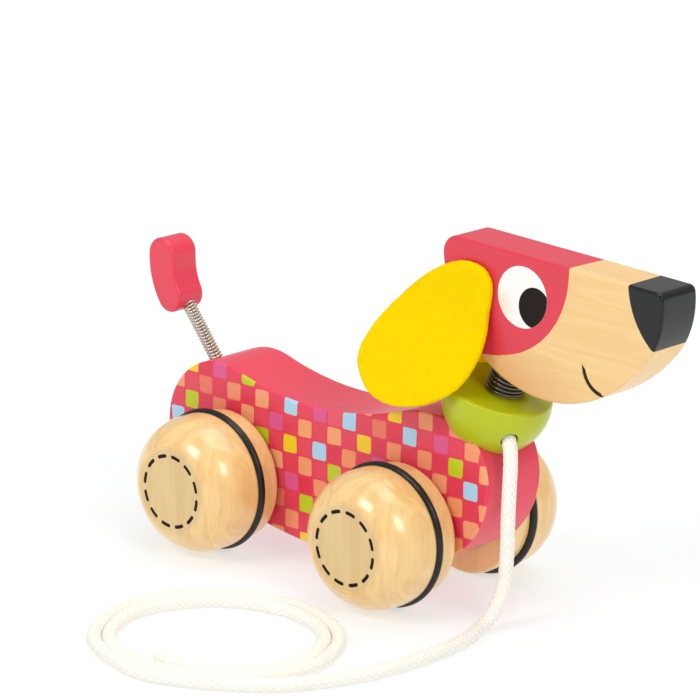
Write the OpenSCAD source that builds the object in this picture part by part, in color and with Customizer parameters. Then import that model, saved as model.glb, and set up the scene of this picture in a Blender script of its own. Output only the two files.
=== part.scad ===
// Wooden pull-along dog: a saddle-backed body board on four wheels, a half-disc head and a
// bean-shaped tail on coil springs, felt ears and a cotton pull cord.
// +X points to the nose, +Y to the dog's left and +Z up. The floor is Z = 0.

/* [Body] */
// Thickness of the body board
body_t = 28; // [25:0.5:30]
// Radius of the rounded rump
rump_r = 25.7; // [25:0.1:26.5]
// Radius of the hollow saddle
saddle_r = 124; // [110:1:150]
// Radius of the neck hump
hump_r = 21.4; // [20.5:0.1:22]
// Radius of the rounded chest
chest_r = 32; // [31:0.5:34]
// Radius of the belly curve
belly_r = 150; // [140:5:170]
// Rounding where the belly meets the chest and the rump
belly_corner_r = 8; // [4:1:10]

/* [Wheels] */
// Diameter over the rubber tyre
tyre_d = 51; // [49:0.5:53]
// Thickness of the rubber ring
tyre_ring_d = 2.8; // [2.4:0.2:3.4]
// Distance between the two axles
wheelbase = 82.6; // [78:0.2:88]
// Radius of the wooden wheel at its widest
wheel_r = 24.4; // [23.5:0.1:24.6]
// Distance between the outer faces of a pair of wheels
track_over_faces = 90.8; // [86:0.2:96]
// Gap between a wheel and the body
wheel_gap = 1.2; // [0.6:0.1:2]
// Radius of the flat hub face
hub_face_r = 15.2; // [14:0.1:16]
// Axle diameter
axle_d = 6; // [5:0.5:8]

/* [Head] */
// Radius of the half-disc head
head_r = 46.4; // [44:0.2:48]
// Rounding at the top of the nose
nose_corner_r = 2.6; // [1:0.2:4]
// Rounding at the back of the skull
skull_corner_r = 6; // [3:0.5:9]
// Thickness of the head board
head_t = 18; // [15:0.5:20]
// Forward lean of the peg in the head from the vertical, in degrees
neck_lean = 27; // [24:1:30]
// Thickness of the felt ears
ear_t = 3; // [2:0.5:3.5]
// Angle at which the ears stand out below their glued tops, in degrees
ear_flare = 24; // [22:1:28]

/* [Collar and neck spring] */
// Radius of the half-ball collar
collar_r = 18.8; // [18:0.1:19.5]
// Forward lean of the collar from the vertical, in degrees
collar_lean = 15; // [12:1:18]
// Height of the collar's flat face above the ball's centre
collar_face = 4; // [3:0.5:5]
// Visible length of the neck spring
neck_gap = 9.5; // [9.4:0.1:10.5]
// How far the neck spring stands forward of the collar's middle
neck_offset = 2.3; // [0:0.1:3]
// Outside diameter of the neck spring
neck_spring_d = 14; // [13.4:0.2:15]
// Wire diameter of the neck spring
neck_wire = 1.3; // [1:0.1:1.3]
// Turns of the neck spring
neck_turns = 5; // [3:1:5]

/* [Tail] */
// Thickness of the tail block
tail_t = 12.6; // [10:0.1:16]
// Backward lean of the tail spring from the vertical, in degrees
tail_lean = 40; // [36:1:44]
// Length of the tail spring between the rump and the tail block
tail_gap = 23; // [22:0.5:24]
// Outside diameter of the tail spring
tail_spring_d = 5.2; // [4.6:0.1:5.6]
// Wire diameter of the tail spring
tail_wire = 0.8; // [0.6:0.1:0.8]
// Turns of the tail spring
tail_turns = 28; // [20:1:34]

/* [Cord] */
// Diameter of the cotton cord
cord_d = 5; // [4:0.5:5]
// Outer radius of the coil that lies on the floor
coil_outer_r = 44.5; // [42:0.5:46]
// Inner radius of the coil
coil_inner_r = 28; // [24:1:35]

/* [Hidden] */
$fn = 96;

red = [0.87, 0.20, 0.27];
pale_wood = [0.90, 0.76, 0.53];
lime = [0.68, 0.75, 0.10];
yellow = [1.00, 0.82, 0.00];
black_rubber = [0.08, 0.08, 0.08];
steel = [0.62, 0.62, 0.60];
cotton = [0.96, 0.94, 0.88];

// Clearances: all round a glued peg, and round a turning axle
glue_gap = 0.05;
running_gap = 0.05;

// Outline centres, as [X, Z], measured from a point midway between the axles
rump_c = [-48.5, 38.8];
shoulder_c = [46.5, 46.7];
hump_c = [55, 47];
belly_c = [1, belly_r + 8];
head_c = [95.3, 128];
tail_top_c = [-86.9, 95];
tail_top_r = 6.3;
tail_foot_c = [-82.8, 80.3];
tail_foot_r = 5.8;
tail_back_r = 30;
tail_waist_r = 22;

tail_back_c = meet(tail_top_c, tail_back_r - tail_top_r, tail_foot_c, tail_back_r - tail_foot_r);
tail_waist_c = meet(tail_top_c, tail_waist_r + tail_top_r, tail_foot_c, tail_waist_r + tail_foot_r);

// The head's straight top: how far it falls towards the nose, in degrees, and its rise above head_c
head_top_fall = 1.7;
head_top_rise = 0.6;

// Muzzle: the jaw runs on in a flatter arc from this many degrees below level, then in a tighter
// arc round the front of the nose
muzzle_from = 60;
muzzle_r = 60;
nose_r = 30;
nose_front = 141.8;
muzzle_c = head_c + (head_r - muzzle_r) * [cos(muzzle_from), -sin(muzzle_from)];
nose_from = acos((nose_front - nose_r - muzzle_c.x) / (muzzle_r - nose_r));
nose_c = muzzle_c + (muzzle_r - nose_r) * [cos(nose_from), -sin(nose_from)];
nose_corner_c = head_corner(nose_c, nose_r, nose_corner_r, 1);
skull_corner_c = head_corner(head_c, head_r, skull_corner_r, -1);

// Everything moves by this much so that the toy is centred on the origin, nose to tail
toy_shift = -(nose_front + tail_back_c.x - tail_back_r) / 2;

axle_z = tyre_d / 2;
half_track = track_over_faces / 2;
wheel_inner = body_t / 2 + wheel_gap;
tyre_plane = 24.7;
tyre_ring_r = (tyre_d - tyre_ring_d) / 2;
groove_gap = 0.02;
drum_r = 23.5;
drum_corner = 0.9;
crown_plane = 31.5;
face_corner_r = 2.5;
wheel_bore_depth = 13;
axle_length = 2 * (wheel_inner + wheel_bore_depth - 0.5);

// The neck spring bends forward along an arc from the collar's lean to the head peg's lean
neck_bend_r = neck_gap * 180 / (PI * (neck_lean - collar_lean));
neck_top = head_c - head_r * [sin(neck_lean), cos(neck_lean)];
neck_foot = neck_top
    - neck_bend_r * [cos(collar_lean) - cos(neck_lean), sin(neck_lean) - sin(collar_lean)];
collar_top = neck_foot - neck_offset * [cos(collar_lean), -sin(collar_lean)];
neck_peg_r = neck_spring_d / 2 - neck_wire - 0.25;
neck_peg_proud = 3.4;
neck_peg_sunk = 6;
head_peg_sunk = 10;
knot_depth = 9.5;
knot_r = 3.6;
dowel_r = 3;
dowel_in_collar = 4.5;
dowel_in_body = 9;

// Tail spring: the point where it leaves the rump, and how far each end is sunk
tail_root_angle = 126;
tail_root = rump_c + rump_r * [cos(tail_root_angle), sin(tail_root_angle)];
tail_sunk_body = 7;
tail_sunk_block = 5;

// Route of the pull cord in toy coordinates: out of the collar, down to the floor and to the coil
cord_route = [
    [46.0, -1.4, 68.0], [48.4, -3.1, 67.3], [50.8, -4.7, 66.5], [53.0, -6.2, 65.8],
    [54.7, -7.3, 64.9], [56.1, -8.2, 63.4], [57.1, -8.8, 61.2], [57.7, -9.2, 58.2],
    [58.0, -9.5, 54.0], [58.1, -9.8, 47.0], [58.2, -10.0, 39.0], [58.3, -10.0, 30.0],
    [58.3, -10.1, 22.0], [58.2, -10.6, 16.0], [58.0, -12.2, 10.6], [57.9, -15.2, 6.2],
    [58.1, -19.2, 3.6], [58.9, -23.5, 2.6], [60.6, -28.5, 2.5], [62.6, -36.0, 2.5],
    [63.6, -45.0, 2.5], [63.5, -56.0, 2.5], [62.8, -67.0, 2.5], [61.2, -78.0, 2.5],
    [58.3, -87.0, 2.5], [55.0, -95.0, 2.5], [51.0, -103.0, 2.5], [45.3, -110.7, 2.5],
    [38.0, -117.2, 2.5],
];
coil_c = [4.5, -92];
cord_bore_from = [44.1, 0, 68.6];
cord_bore_to = [56.0, -8.3, 64.7];
cord_bore_gap = 0.2;
cord_mouth_flare = 1.9;
cord_sides = 10;

// Outline of an ear as seen from the side, as [X, Z] in toy coordinates
ear_points = [
    [27.4, 120], [35.9, 122.9], [44.2, 121.9], [48, 116.7], [47.5, 106.4], [47.9, 93.6], [43.6, 82.4],
    [33.2, 75], [20.9, 71.8], [8.9, 73.1], [0.4, 78.9], [-2.2, 86.8], [3.9, 99.9], [16.9, 113.2],
];
ear_bend_z = 113;
ear_bend_r = 40;

// ---- Outline helpers ----

// Sweep from one heading to another, counter-clockwise, between 0 and 360
function sweep(from, to) = ((to - from) % 360 + 360) % 360;

// Heading of b seen from a
function heading(a, b) = atan2(b.y - a.y, b.x - a.x);

// Points along an arc, at most 4 degrees and 4 mm apart
function arc(c, r, from, turn) =
    let (n = ceil(max(abs(turn) / 4, abs(turn) * r * PI / 180 / 4)))
    [for (i = [0:n]) c + r * [cos(from + turn * i / n), sin(from + turn * i / n)]];

function arc_left(c, r, from, to) = arc(c, r, from, sweep(from, to));
function arc_right(c, r, from, to) = arc(c, r, from, -sweep(to, from));

// Where two circles cross, on the left of the way from a to b
function meet(a, ra, b, rb) =
    let (d = norm(b - a), u = (b - a) / d, s = (ra * ra - rb * rb + d * d) / (2 * d))
    a + s * u + sqrt(ra * ra - s * s) * [-u.y, u.x];

// Leaves out each point that the next one repeats
function tidy(points) =
    [for (i = [0:len(points) - 1])
        if (norm(points[i] - points[(i + 1) % len(points)]) > 0.01) points[i]];

// Centre of a rounding of radius r where an arc of the head meets its straight top, at the arc's
// nose end (1) or skull end (-1)
function head_corner(c, arc_r, r, end) =
    let (up = [sin(head_top_fall), cos(head_top_fall)], way = [up.y, -up.x],
        drop = up * (head_c - c) + head_top_rise - r,
        along = sqrt(pow(arc_r - r, 2) - drop * drop))
    c + drop * up + end * along * way;

// Closed smooth curve through a ring of points, in equal steps of each span
function smooth_ring(p, steps) =
    let (n = len(p))
    [for (i = [0:n - 1], k = [0:steps - 1])
        let (a = p[(i + n - 1) % n], b = p[i], c = p[(i + 1) % n], d = p[(i + 2) % n], t = k / steps)
        (2 * b + (c - a) * t + (2 * a - 5 * b + 4 * c - d) * t * t
            + (3 * b - a - 3 * c + d) * t * t * t) / 2];

// Stands a drawing of [X, Z] points upright, with a thickness centred on Y = 0
module board(points, thickness) {
    translate([toy_shift, thickness / 2, 0])
        rotate([90, 0, 0])
            linear_extrude(thickness)
                polygon(tidy(points));
}

// ---- Body ----

saddle_c = meet(rump_c, rump_r + saddle_r, shoulder_c, hump_r + saddle_r);
chest_c = hump_c - [chest_r - hump_r, 0];
chest_corner_c = meet(belly_c, belly_r - belly_corner_r, chest_c, chest_r - belly_corner_r);
rump_corner_c = meet(rump_c, rump_r - belly_corner_r, belly_c, belly_r - belly_corner_r);
neck_top_heading = heading(shoulder_c, hump_c) + 90;

function body_outline() = concat(
    arc_left(belly_c, belly_r, heading(belly_c, rump_corner_c), heading(belly_c, chest_corner_c)),
    arc_left(chest_corner_c, belly_corner_r,
        heading(belly_c, chest_corner_c), heading(chest_c, chest_corner_c)),
    arc_left(chest_c, chest_r, heading(chest_c, chest_corner_c), 0),
    arc_left(hump_c, hump_r, 0, neck_top_heading),
    arc_left(shoulder_c, hump_r, neck_top_heading, heading(shoulder_c, saddle_c)),
    arc_right(saddle_c, saddle_r, heading(saddle_c, shoulder_c), heading(saddle_c, rump_c)),
    arc_left(rump_c, rump_r, heading(rump_c, saddle_c), heading(rump_c, rump_corner_c)),
    arc_left(rump_corner_c, belly_corner_r,
        heading(rump_c, rump_corner_c), heading(belly_c, rump_corner_c))
);

module body_block() {
    color(red)
        difference() {
            board(body_outline(), body_t);
            for (side = [-1, 1])
                at_axle(side) rotate([90, 0, 0])
                    cylinder(r = axle_d / 2 + running_gap, h = body_t + 2, center = true);
            at_collar() sphere(r = collar_r + glue_gap);
            at_collar() translate([0, 0, -collar_r - dowel_in_body])
                cylinder(r = dowel_r + glue_gap, h = collar_r + dowel_in_body);
            along_tail() translate([0, 0, -tail_sunk_body - 0.5])
                cylinder(r = tail_spring_d / 2 + glue_gap, h = tail_sunk_body + 4);
        }
}

// ---- Collar and neck ----

// Origin at the middle of the collar's flat face, +Z up along the leaning collar
module at_collar_face() {
    translate([collar_top.x + toy_shift, 0, collar_top.y])
        rotate([0, collar_lean, 0])
            children();
}

// Origin where the neck spring stands on the collar
module at_neck_foot() {
    at_collar_face() translate([neck_offset, 0, 0])
        children();
}

// Origin at the collar ball's centre
module at_collar() {
    at_collar_face() translate([0, 0, -collar_face])
        children();
}

// Origin where the neck spring meets the head, +Z up along the head's peg
module at_head_peg() {
    translate([neck_top.x + toy_shift, 0, neck_top.y])
        rotate([0, neck_lean, 0])
            children();
}

// Bowl: a ball cut flat a little above its centre
module collar() {
    color(lime)
        difference() {
            at_collar() intersection() {
                sphere(r = collar_r);
                translate([0, 0, -collar_r])
                    cylinder(r = collar_r + 1, h = collar_r + collar_face);
            }
            at_neck_foot() translate([0, 0, -knot_depth - knot_r - 0.4])
                cylinder(r = neck_peg_r + glue_gap, h = knot_depth + knot_r + 2);
            at_collar() translate([0, 0, -collar_r - 1])
                cylinder(r = dowel_r + glue_gap, h = dowel_in_collar + 1);
            cord_bore();
        }
}

// Bore for the cord, opening out at its mouth
module cord_bore() {
    run = cord_bore_to - cord_bore_from;
    translate(cord_bore_from)
        rotate([0, acos(run.z / norm(run)), atan2(run.y, run.x)]) {
            cylinder(r = cord_d / 2 + cord_bore_gap, h = norm(run) + 4);
            translate([0, 0, norm(run) - 6])
                cylinder(r1 = cord_d / 2 + cord_bore_gap, r2 = cord_d / 2 + cord_mouth_flare, h = 9);
        }
}

module collar_dowel() {
    color(pale_wood)
        at_collar() translate([0, 0, -collar_r - dowel_in_body + 0.3])
            cylinder(r = dowel_r, h = dowel_in_body + dowel_in_collar - 0.6);
}

module neck_peg_collar() {
    color(pale_wood)
        at_neck_foot() translate([0, 0, 0.3 - neck_peg_sunk])
            cylinder(r = neck_peg_r, h = neck_peg_sunk + neck_peg_proud - 0.3);
}

module neck_peg_head() {
    color(pale_wood)
        at_head_peg() translate([0, 0, -neck_peg_proud])
            cylinder(r = neck_peg_r, h = head_peg_sunk + neck_peg_proud - 0.3);
}

// Point of the neck's bent helix, at a share t of its length and an angle round its wire's path
function neck_helix(t, angle, r) =
    let (lean = collar_lean + (neck_lean - collar_lean) * t,
        axis = neck_foot
            + neck_bend_r * [cos(collar_lean) - cos(lean), sin(lean) - sin(collar_lean)],
        out = r * cos(angle))
    [axis.x + toy_shift + out * cos(lean), r * sin(angle), axis.y - out * sin(lean)];

module neck_spring() {
    wire_r = neck_wire / 2;
    steps = 18;
    n = neck_turns * steps;
    end_gap = (wire_r + 0.1) / neck_gap;
    color(steel)
        tube([for (i = [0:n])
            neck_helix(end_gap + (1 - 2 * end_gap) * i / n, 360 * i / steps, neck_spring_d / 2 - wire_r)],
            [0.4, 0, 1], wire_r, 6);
}

// Helix of round wire as one closed tube, from Z = 0 to Z = height
module coil_spring(r, wire_r, height, turns, steps) {
    n = turns * steps;
    tube([for (i = [0:n]) [r * cos(360 * i / steps), r * sin(360 * i / steps), height * i / n]],
        [0, 0, 1], wire_r, 6);
}

// Round tube through a list of points, and a level direction that the tube never runs along
module tube(points, level, r, sides) {
    last = len(points) - 1;
    rings = [for (i = [0:last])
        let (way = points[min(i + 1, last)] - points[max(i - 1, 0)], w = way / norm(way),
            u0 = cross(w, level), u = u0 / norm(u0), v = cross(w, u))
        [for (k = [0:sides - 1]) points[i] + r * (cos(360 * k / sides) * u + sin(360 * k / sides) * v)]];
    walls = [for (i = [0:last - 1], k = [0:sides - 1])
        let (a = i * sides + k, b = i * sides + (k + 1) % sides)
        each [[a, a + sides, b + sides], [a, b + sides, b]]];
    polyhedron([for (ring = rings) each ring],
        concat(walls, [[for (k = [0:sides - 1]) k]],
            [[for (k = [sides - 1:-1:0]) last * sides + k]]), convexity = 10);
}

// ---- Head ----

// Half-disc: a jaw arc from the back of the skull, flatter under the muzzle, and a straight top
function head_outline() =
    let (up = 90 - head_top_fall, nose = heading(nose_c, nose_corner_c),
        skull = heading(head_c, skull_corner_c))
    concat(
        arc_left(head_c, head_r, skull, -muzzle_from),
        arc_left(muzzle_c, muzzle_r, -muzzle_from, -nose_from),
        arc_left(nose_c, nose_r, -nose_from, nose),
        arc_left(nose_corner_c, nose_corner_r, nose, up),
        arc_left(skull_corner_c, skull_corner_r, up, skull)
    );

module head_block() {
    color(pale_wood)
        difference() {
            board(head_outline(), head_t);
            at_head_peg() translate([0, 0, -2])
                cylinder(r = neck_peg_r + glue_gap, h = head_peg_sunk + 2);
        }
}

// ---- Ears ----

// How far the inside of an ear stands out from the head's side at height z
function ear_offset(z) =
    let (bend_drop = ear_bend_r * sin(ear_flare), drop = ear_bend_z - z)
    drop <= 0 ? 0
    : drop <= bend_drop ? ear_bend_r - sqrt(ear_bend_r * ear_bend_r - drop * drop)
    : ear_bend_r * (1 - cos(ear_flare)) + (drop - bend_drop) * tan(ear_flare);

// Egg-shaped sheet of felt on the dog's left: side +1, or right: side -1
module ear(side) {
    heights = [130, ear_bend_z, 110, 107, 104, 101, ear_bend_z - ear_bend_r * sin(ear_flare), 60];
    inside = head_t / 2 + 0.02;
    slab = concat(
        [for (z = heights) [inside + ear_offset(z), z]],
        [for (i = [len(heights) - 1:-1:0]) [inside + ear_t + ear_offset(heights[i]), heights[i]]]
    );
    color(yellow)
        intersection() {
            translate([0, side * 60, 0])
                rotate([90, 0, 0])
                    linear_extrude(120, center = true)
                        polygon(smooth_ring(ear_points, 5));
            translate([-40, 0, 0])
                rotate([90, 0, 90])
                    linear_extrude(120)
                        polygon([for (p = slab) [side * p.x, p.y]]);
        }
}

module ear_left() { ear(1); }
module ear_right() { ear(-1); }

// ---- Tail ----

function tail_outline() = concat(
    arc_left(tail_top_c, tail_top_r,
        heading(tail_top_c, tail_waist_c), heading(tail_back_c, tail_top_c)),
    arc_left(tail_back_c, tail_back_r,
        heading(tail_back_c, tail_top_c), heading(tail_back_c, tail_foot_c)),
    arc_left(tail_foot_c, tail_foot_r,
        heading(tail_back_c, tail_foot_c), heading(tail_foot_c, tail_waist_c)),
    arc_right(tail_waist_c, tail_waist_r,
        heading(tail_waist_c, tail_foot_c), heading(tail_waist_c, tail_top_c))
);

// Origin where the tail spring leaves the rump, +Z up along the spring
module along_tail() {
    translate([tail_root.x + toy_shift, 0, tail_root.y])
        rotate([0, -tail_lean, 0])
            children();
}

module tail_block() {
    color(red)
        difference() {
            board(tail_outline(), tail_t);
            along_tail() translate([0, 0, tail_gap - 2])
                cylinder(r = tail_spring_d / 2 + glue_gap, h = tail_sunk_block + 2.5);
        }
}

module tail_spring() {
    wire_r = tail_wire / 2;
    color(steel)
        along_tail() translate([0, 0, wire_r - tail_sunk_body])
            coil_spring(tail_spring_d / 2 - wire_r, wire_r,
                tail_sunk_body + tail_gap + tail_sunk_block - tail_wire, tail_turns, 8);
}

// ---- Wheels ----

// Origin at the middle of the rear axle (end -1) or the front axle (end +1)
module at_axle(end) {
    translate([end * wheelbase / 2 + toy_shift, 0, axle_z])
        children();
}

// Domed wheel profile, as [radius, distance from the toy's middle plane]: a drum against the
// body, then a shoulder arc that leaves the crown and runs smoothly into the face's round edge
function wheel_profile() =
    let (face_edge = [hub_face_r, half_track - face_corner_r],
        lift = wheel_r - face_edge.x,
        span = face_edge.y - crown_plane,
        shoulder_r = (span * span + lift * lift - face_corner_r * face_corner_r)
            / (2 * (lift - face_corner_r)),
        shoulder = [wheel_r - shoulder_r, crown_plane],
        join = heading(shoulder, face_edge))
    concat(
        [[0, wheel_inner], [drum_r - drum_corner, wheel_inner], [drum_r, wheel_inner + drum_corner],
            [drum_r, tyre_plane]],
        arc_left(shoulder, shoulder_r, 0, join),
        arc_left(face_edge, face_corner_r, join, 90),
        [[0, half_track]]
    );

module wheel(end, side) {
    color(pale_wood)
        at_axle(end) rotate([-side * 90, 0, 0]) difference() {
            rotate_extrude() polygon(tidy(wheel_profile()));
            translate([0, 0, wheel_inner - 1])
                cylinder(r = axle_d / 2 + glue_gap, h = wheel_bore_depth + 1);
            translate([0, 0, tyre_plane])
                tyre_ring(tyre_ring_d / 2 + groove_gap);
        }
}

module tyre(end, side) {
    color(black_rubber)
        at_axle(end) rotate([-side * 90, 0, 0])
            translate([0, 0, tyre_plane])
                tyre_ring(tyre_ring_d / 2);
}

module tyre_ring(r) {
    rotate_extrude()
        translate([tyre_ring_r, 0])
            circle(r = r, $fn = 32);
}

module axle(end) {
    color(pale_wood)
        at_axle(end) rotate([90, 0, 0])
            cylinder(r = axle_d / 2, h = axle_length, center = true);
}

module front_axle() { axle(1); }
module rear_axle() { axle(-1); }
module wheel_front_left() { wheel(1, 1); }
module wheel_front_right() { wheel(1, -1); }
module wheel_rear_left() { wheel(-1, 1); }
module wheel_rear_right() { wheel(-1, -1); }
module tyre_front_left() { tyre(1, 1); }
module tyre_front_right() { tyre(1, -1); }
module tyre_rear_left() { tyre(-1, 1); }
module tyre_rear_right() { tyre(-1, -1); }

// ---- Cord ----

// Knot that stops the cord in the chamber under the neck peg
module cord_knot() {
    color(cotton)
        at_neck_foot() translate([0, 0, -knot_depth])
            sphere(r = knot_r);
}

module pull_cord() {
    color(cotton)
        tube(cord_route, [1, 0, 0], cord_d / 2, cord_sides);
}

// The outer shape of the turns that lie side by side on the floor
module pull_cord_coil() {
    color(cotton)
        translate([coil_c.x, coil_c.y, 0])
            rotate_extrude() translate([coil_inner_r, 0])
                square([coil_outer_r - coil_inner_r, cord_d]);
}

body_block();
collar();
collar_dowel();
neck_peg_collar();
neck_spring();
neck_peg_head();
head_block();
ear_left();
ear_right();
tail_spring();
tail_block();
front_axle();
wheel_front_left();
wheel_front_right();
tyre_front_left();
tyre_front_right();
rear_axle();
wheel_rear_left();
wheel_rear_right();
tyre_rear_left();
tyre_rear_right();
cord_knot();
pull_cord();
pull_cord_coil();
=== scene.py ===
"""The wooden pull-along dog's looks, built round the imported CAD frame. Lengths in here are in
millimetres unless they say otherwise, and are scaled to metres as each mesh is made."""

import math
import random

import bmesh
import bpy
from mathutils import Matrix, Vector


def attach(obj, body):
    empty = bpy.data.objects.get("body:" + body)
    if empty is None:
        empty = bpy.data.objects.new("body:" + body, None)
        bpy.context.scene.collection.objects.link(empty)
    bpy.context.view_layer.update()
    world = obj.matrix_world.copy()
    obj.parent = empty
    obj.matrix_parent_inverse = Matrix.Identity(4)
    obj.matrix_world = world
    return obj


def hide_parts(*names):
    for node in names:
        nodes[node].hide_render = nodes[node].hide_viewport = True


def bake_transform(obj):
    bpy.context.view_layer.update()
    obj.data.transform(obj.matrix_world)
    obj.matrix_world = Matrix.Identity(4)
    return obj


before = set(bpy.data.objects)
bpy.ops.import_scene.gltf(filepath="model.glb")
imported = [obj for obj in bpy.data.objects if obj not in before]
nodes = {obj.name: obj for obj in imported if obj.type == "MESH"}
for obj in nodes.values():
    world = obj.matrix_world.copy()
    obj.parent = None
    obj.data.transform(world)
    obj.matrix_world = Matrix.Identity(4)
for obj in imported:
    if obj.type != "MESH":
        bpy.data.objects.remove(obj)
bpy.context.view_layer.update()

MM = 0.001
TAU = 2 * math.pi
LEFT = Vector((0, 1, 0))
scene = bpy.context.scene

# ---- Camera: the photograph's viewing angle, with a long lens ----

AZIMUTH, ELEVATION, ROLL = math.radians(42.31), math.radians(16.45), math.radians(1.33)
LOOK_AT, DISTANCE = Vector((-28.9, 0, 72.2)), 1269.7
BACK = Vector((math.sin(AZIMUTH) * math.cos(ELEVATION),
               -math.cos(AZIMUTH) * math.cos(ELEVATION), math.sin(ELEVATION)))
camera = bpy.data.objects.new("camera", bpy.data.cameras.new("camera"))
scene.collection.objects.link(camera)
scene.camera = camera
camera.data.lens = 187.5
camera.data.sensor_width = 36
camera.data.shift_x = 0.0161
camera.data.shift_y = 0.0159
camera.data.clip_start, camera.data.clip_end = 0.05, 20
camera.rotation_mode = "QUATERNION"
camera.location = (LOOK_AT + BACK * DISTANCE) * MM
camera.rotation_quaternion = ((-BACK).to_track_quat("-Z", "Y")
                              @ Matrix.Rotation(ROLL, 3, "Z").to_quaternion())

# ---- Mesh helpers ----

def new_object(name, verts, faces, material, smooth=True):
    """A mesh object from millimetres, with its faces turned outwards."""
    mesh = bpy.data.meshes.new(name)
    mesh.from_pydata([Vector(v) * MM for v in verts], [], faces)
    mesh.validate()
    ob = bpy.data.objects.new(name, mesh)
    scene.collection.objects.link(ob)
    mesh.materials.append(material.m)
    mesh.polygons.foreach_set("use_smooth", [smooth] * len(mesh.polygons))
    bm = bmesh.new()
    bm.from_mesh(mesh)
    bmesh.ops.recalc_face_normals(bm, faces=bm.faces)
    bm.to_mesh(mesh)
    bm.free()
    return ob


def weighted(ob):
    """Keeps the wide faces flat-looking where they meet rounded edges."""
    modifier = ob.modifiers.new("normals", "WEIGHTED_NORMAL")
    modifier.weight = 100
    modifier.keep_sharp = True
    return ob


def heading(a, b):
    """Angle of the way from a to b in the plane."""
    return math.atan2(b[1] - a[1], b[0] - a[0])


def meet(a, ra, b, rb):
    """Where two circles cross, on the left of the way from a to b."""
    a, b = Vector(a), Vector(b)
    d = (b - a).length
    u = (b - a) / d
    s = (ra * ra - rb * rb + d * d) / (2 * d)
    return a + s * u + math.sqrt(ra * ra - s * s) * Vector((-u.y, u.x))


LONGEST = 2.5       # no two points on an arc are further apart


def arc(c, r, start, end, left=True, step=2.0):
    """Points along an arc, no more than step degrees apart, without the last one."""
    sweep = (end - start) % TAU if left else -((start - end) % TAU)
    n = max(2, math.ceil(abs(math.degrees(sweep)) / step), math.ceil(abs(sweep) * r / LONGEST))
    angles = [start + sweep * i / n for i in range(n)]
    return [Vector((c[0] + r * math.cos(a), c[1] + r * math.sin(a))) for a in angles]


def inset(points, d):
    """The closed outline moved inwards, each point along its own normal."""
    n = len(points)
    out = []
    for i in range(n):
        a, p, b = points[i - 1], points[i], points[(i + 1) % n]
        t = ((p - a).normalized() + (b - p).normalized()).normalized()
        out.append(p + Vector((-t.y, t.x)) * d)
    return out


def board(name, outline, thickness, ease, material, steps=5):
    """A board with rounded edges, upright in the X-Z plane."""
    half = thickness / 2
    rings = []
    for i in range(steps + 1):
        a = math.pi / 2 * i / steps
        rings.append((inset(outline, ease * (1 - math.sin(a))), half - ease + ease * math.cos(a)))
    rings += [(r, -y) for r, y in reversed(rings)]
    verts = [(p.x, y, p.y) for ring, y in rings for p in ring]
    n = len(outline)
    faces = [(k * n + i, k * n + (i + 1) % n, (k + 1) * n + (i + 1) % n, (k + 1) * n + i)
             for k in range(len(rings) - 1) for i in range(n)]
    faces += [tuple(range(n)), tuple(range(len(verts) - n, len(verts)))]
    return weighted(new_object(name, verts, faces, material))


def lathe(name, profile, material, segments):
    """A solid of revolution about Y from (radius, y) points. A radius of 0 closes it."""
    verts, rings = [], []
    for r, y in profile:
        if r < 1e-6:
            rings.append([len(verts)])
            verts.append((0, y, 0))
        else:
            rings.append(list(range(len(verts), len(verts) + segments)))
            verts += [(r * math.cos(TAU * i / segments), y, r * math.sin(TAU * i / segments))
                      for i in range(segments)]
    faces = []
    for a, b in zip(rings, rings[1:]):
        for i in range(segments):
            j = (i + 1) % segments
            if len(a) == 1 and len(b) > 1:
                faces.append((a[0], b[i], b[j]))
            elif len(b) == 1 and len(a) > 1:
                faces.append((a[i], b[0], a[j]))
            elif len(a) > 1:
                faces.append((a[i], b[i], b[j], a[j]))
    return weighted(new_object(name, verts, faces, material))


def tube(name, path, radius, sides, material, bulge=None):
    """A round tube along closely spaced points, with frames carried along so that it never twists.
    bulge(distance, angle) gives each vertex's radius as a share of the whole. The UV map runs once
    round and in metres along."""
    path = [Vector(p) for p in path]
    n = len(path)
    ways = [(path[min(i + 1, n - 1)] - path[max(i - 1, 0)]).normalized() for i in range(n)]
    side = ways[0].orthogonal().normalized()
    verts, runs, run = [], [], 0.0
    for i in range(n):
        if i:
            run += (path[i] - path[i - 1]).length
            side = (side - ways[i] * side.dot(ways[i])).normalized()
        other = ways[i].cross(side)
        for k in range(sides):
            a = TAU * k / sides
            r = radius * (bulge(run, a) if bulge else 1)
            verts.append(path[i] + (side * math.cos(a) + other * math.sin(a)) * r)
        runs.append(run)
    faces = []
    for low in range(0, (n - 1) * sides, sides):
        high = low + sides
        for k in range(sides):
            j = (k + 1) % sides
            faces.append((low + k, low + j, high + j, high + k))
    faces += [tuple(range(sides)), tuple(range((n - 1) * sides, n * sides))]
    ob = new_object(name, verts, faces, material)
    layer = ob.data.uv_layers.new(name="UVMap")
    for f in ob.data.polygons:
        places = [v % sides for v in f.vertices]
        over_seam = max(places) - min(places) > sides / 2
        is_cap = len(f.vertices) > 4
        for loop, v, k in zip(f.loop_indices, f.vertices, places):
            if over_seam and k < sides / 2:
                k += sides
            layer.data[loop].uv = (0.5 if is_cap else k / sides, runs[v // sides] * MM)
    return ob


def catmull(a, b, c, d, t):
    """Point between b and c on the smooth curve through a, b, c and d."""
    return 0.5 * (2 * b + (c - a) * t + (2 * a - 5 * b + 4 * c - d) * t * t
                  + (3 * b - a - 3 * c + d) * t ** 3)


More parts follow.
